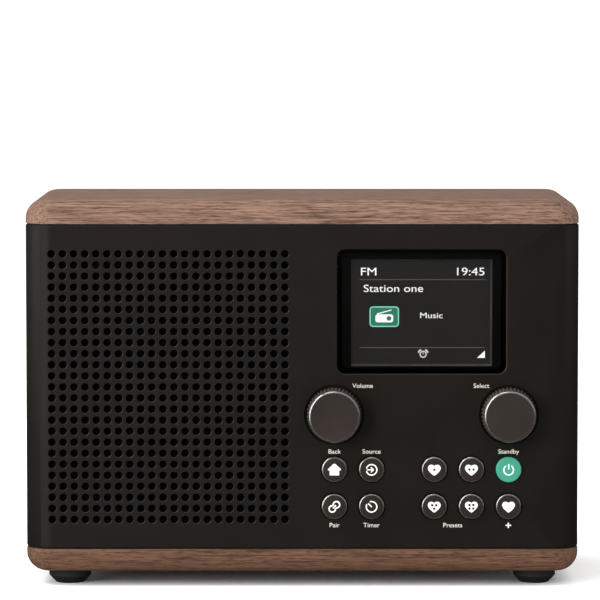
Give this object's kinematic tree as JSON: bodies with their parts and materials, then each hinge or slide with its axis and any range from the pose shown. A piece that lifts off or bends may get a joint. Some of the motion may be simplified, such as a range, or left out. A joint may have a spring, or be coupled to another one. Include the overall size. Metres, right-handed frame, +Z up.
{
  "type": "tabletop radio",
  "caption": "Compact tabletop radio with a black cabinet between wood panels, a perforated speaker front, a display, two turning knobs, round buttons and a folding telescopic aerial.",
  "frame": {"origin": "centre of the footprint, on the surface that the feet stand on", "axes": "+Z up, the front with the knobs and display faces -Y, +X to the right seen from the front"},
  "size_m": [0.2, 0.118, 0.14],
  "materials": {
    "wood_top": "oiled walnut, satin",
    "wood_base": "oiled walnut, satin",
    "black_shell": "fine matt texture",
    "black_plastic": "fine matt texture",
    "rubber": "matt",
    "steel_screws": "zinc-plated",
    "cloth": "woven",
    "speaker_steel": "black-coated pressed steel",
    "ferrite": "sintered ferrite",
    "cone_paper": "pressed pulp",
    "copper": "enamelled copper wire",
    "window": "tinted, glossy",
    "display": "display glass",
    "knob_plastic": "satin",
    "shaft_steel": "turned",
    "white_plastic": "moulded",
    "button_plastic": "satin",
    "standby_plastic": "mint green",
    "silicone": "silicone rubber",
    "circuit_board": "green solder mask",
    "brass_posts": "turned",
    "tin_can": "tinned sheet",
    "capacitor": "sleeved",
    "battery_wrap": "shrink wrap",
    "ribbon": "flat flexible cable",
    "lead": "insulated wire",
    "aerial_chrome": "polished",
    "aerial_mount": "satin"
  },
  "bodies": {
    "cabinet": {"top_panel": "wood_top", "base_panel": "wood_base", "seam_trims": "rubber", "cabinet_sleeve": "black_shell", "rear_cover": "black_plastic", "feet": "rubber", "case_screws": "steel_screws", "board_screws": "steel_screws", "grille_cloth": "cloth", "speaker_gasket": "rubber", "speaker_frame": "speaker_steel", "speaker_surround": "rubber", "speaker_spider": "cloth", "speaker_top_plate": "speaker_steel", "speaker_magnet": "ferrite", "speaker_yoke": "speaker_steel", "display_window": "window", "display_panel": "display", "display_bracket": "black_plastic", "volume_encoder": "shaft_steel", "select_encoder": "shaft_steel", "key_mat": "silicone", "control_board": "circuit_board", "main_board": "circuit_board", "board_standoffs": "brass_posts", "radio_module": "tin_can", "capacitors": "capacitor", "dc_socket": "black_plastic", "audio_sockets": "black_plastic", "usb_socket": "tin_can", "battery_pack": "battery_wrap", "ribbon_cables": "ribbon", "wire_leads": "lead"},
    "speaker_cone": {"speaker_cone": "cone_paper", "speaker_dust_cap": "cone_paper", "voice_coil": "copper"},
    "battery_door": {"battery_door": "black_plastic"},
    "volume_press": {"volume_plunger": "white_plastic"},
    "volume_knob": {"volume_knob": "knob_plastic", "volume_shaft": "shaft_steel"},
    "select_press": {"select_plunger": "white_plastic"},
    "select_knob": {"select_knob": "knob_plastic", "select_shaft": "shaft_steel"},
    "button_back": {"button_back": "button_plastic"},
    "button_source": {"button_source": "button_plastic"},
    "button_pair": {"button_pair": "button_plastic"},
    "button_timer": {"button_timer": "button_plastic"},
    "button_preset_1": {"button_preset_1": "button_plastic"},
    "button_preset_2": {"button_preset_2": "button_plastic"},
    "button_preset_3": {"button_preset_3": "button_plastic"},
    "button_preset_4": {"button_preset_4": "button_plastic"},
    "button_standby": {"button_standby": "standby_plastic"},
    "button_favourite": {"button_favourite": "button_plastic"},
    "aerial_swivel": {"aerial_base": "aerial_mount", "aerial_pin": "aerial_chrome"},
    "aerial_tube_1": {"aerial_tube_1": "aerial_chrome"},
    "aerial_tube_2": {"aerial_tube_2": "aerial_chrome"},
    "aerial_tube_3": {"aerial_tube_3": "aerial_chrome"},
    "aerial_tube_4": {"aerial_tube_4": "aerial_chrome"},
    "aerial_tube_5": {"aerial_tube_5": "aerial_chrome"}
  },
  "joints": [
    {"name": "speaker_cone_slide", "type": "slide", "parent": "cabinet", "child": "speaker_cone", "axis": [0, 1, 0], "range_m": [-0.002, 0.002], "stiffness_N_per_m": 1500, "deforming": ["speaker_surround", "speaker_spider"]},
    {"name": "battery_door_hinge", "type": "hinge", "parent": "cabinet", "child": "battery_door", "pos_m": [-0.04, 0.05, 0.03415], "axis": [-1, 0, 0], "range_deg": [0, 75]},
    {"name": "button_back_press", "type": "slide", "parent": "cabinet", "child": "button_back", "axis": [0, 1, 0], "range_m": [0, 0.0008], "stiffness_N_per_m": 1500, "deforming": ["key_mat"]},
    {"name": "button_source_press", "type": "slide", "parent": "cabinet", "child": "button_source", "axis": [0, 1, 0], "range_m": [0, 0.0008], "stiffness_N_per_m": 1500, "deforming": ["key_mat"]},
    {"name": "button_pair_press", "type": "slide", "parent": "cabinet", "child": "button_pair", "axis": [0, 1, 0], "range_m": [0, 0.0008], "stiffness_N_per_m": 1500, "deforming": ["key_mat"]},
    {"name": "button_timer_press", "type": "slide", "parent": "cabinet", "child": "button_timer", "axis": [0, 1, 0], "range_m": [0, 0.0008], "stiffness_N_per_m": 1500, "deforming": ["key_mat"]},
    {"name": "button_preset_1_press", "type": "slide", "parent": "cabinet", "child": "button_preset_1", "axis": [0, 1, 0], "range_m": [0, 0.0008], "stiffness_N_per_m": 1500, "deforming": ["key_mat"]},
    {"name": "button_preset_2_press", "type": "slide", "parent": "cabinet", "child": "button_preset_2", "axis": [0, 1, 0], "range_m": [0, 0.0008], "stiffness_N_per_m": 1500, "deforming": ["key_mat"]},
    {"name": "button_preset_3_press", "type": "slide", "parent": "cabinet", "child": "button_preset_3", "axis": [0, 1, 0], "range_m": [0, 0.0008], "stiffness_N_per_m": 1500, "deforming": ["key_mat"]},
    {"name": "button_preset_4_press", "type": "slide", "parent": "cabinet", "child": "button_preset_4", "axis": [0, 1, 0], "range_m": [0, 0.0008], "stiffness_N_per_m": 1500, "deforming": ["key_mat"]},
    {"name": "button_standby_press", "type": "slide", "parent": "cabinet", "child": "button_standby", "axis": [0, 1, 0], "range_m": [0, 0.0008], "stiffness_N_per_m": 1500, "deforming": ["key_mat"]},
    {"name": "button_favourite_press", "type": "slide", "parent": "cabinet", "child": "button_favourite", "axis": [0, 1, 0], "range_m": [0, 0.0008], "stiffness_N_per_m": 1500, "deforming": ["key_mat"]},
    {"name": "volume_press", "type": "slide", "parent": "cabinet", "child": "volume_press", "axis": [0, 1, 0], "range_m": [0, 0.0005], "stiffness_N_per_m": 4000},
    {"name": "volume_turn", "type": "hinge", "parent": "volume_press", "child": "volume_knob", "pos_m": [0.0115, -0.05, 0.0625], "axis": [0, 1, 0], "continuous": true},
    {"name": "select_press", "type": "slide", "parent": "cabinet", "child": "select_press", "axis": [0, 1, 0], "range_m": [0, 0.0005], "stiffness_N_per_m": 4000},
    {"name": "select_turn", "type": "hinge", "parent": "select_press", "child": "select_knob", "pos_m": [0.0745, -0.05, 0.0625], "axis": [0, 1, 0], "continuous": true},
    {"name": "aerial_swivel", "type": "hinge", "parent": "cabinet", "child": "aerial_swivel", "pos_m": [-0.074, 0.05, 0.115], "axis": [0, -1, 0], "range_deg": [0, 180]},
    {"name": "aerial_elbow", "type": "hinge", "parent": "aerial_swivel", "child": "aerial_tube_1", "pos_m": [-0.074, 0.056, 0.115], "axis": [0, 0, 1], "range_deg": [0, 90]},
    {"name": "aerial_slide_1", "type": "slide", "parent": "aerial_tube_1", "child": "aerial_tube_2", "axis": [1, 0, 0], "range_m": [0, 0.12]},
    {"name": "aerial_slide_2", "type": "slide", "parent": "aerial_tube_2", "child": "aerial_tube_3", "axis": [1, 0, 0], "range_m": [0, 0.12]},
    {"name": "aerial_slide_3", "type": "slide", "parent": "aerial_tube_3", "child": "aerial_tube_4", "axis": [1, 0, 0], "range_m": [0, 0.12]},
    {"name": "aerial_slide_4", "type": "slide", "parent": "aerial_tube_4", "child": "aerial_tube_5", "axis": [1, 0, 0], "range_m": [0, 0.12]}
  ]
}
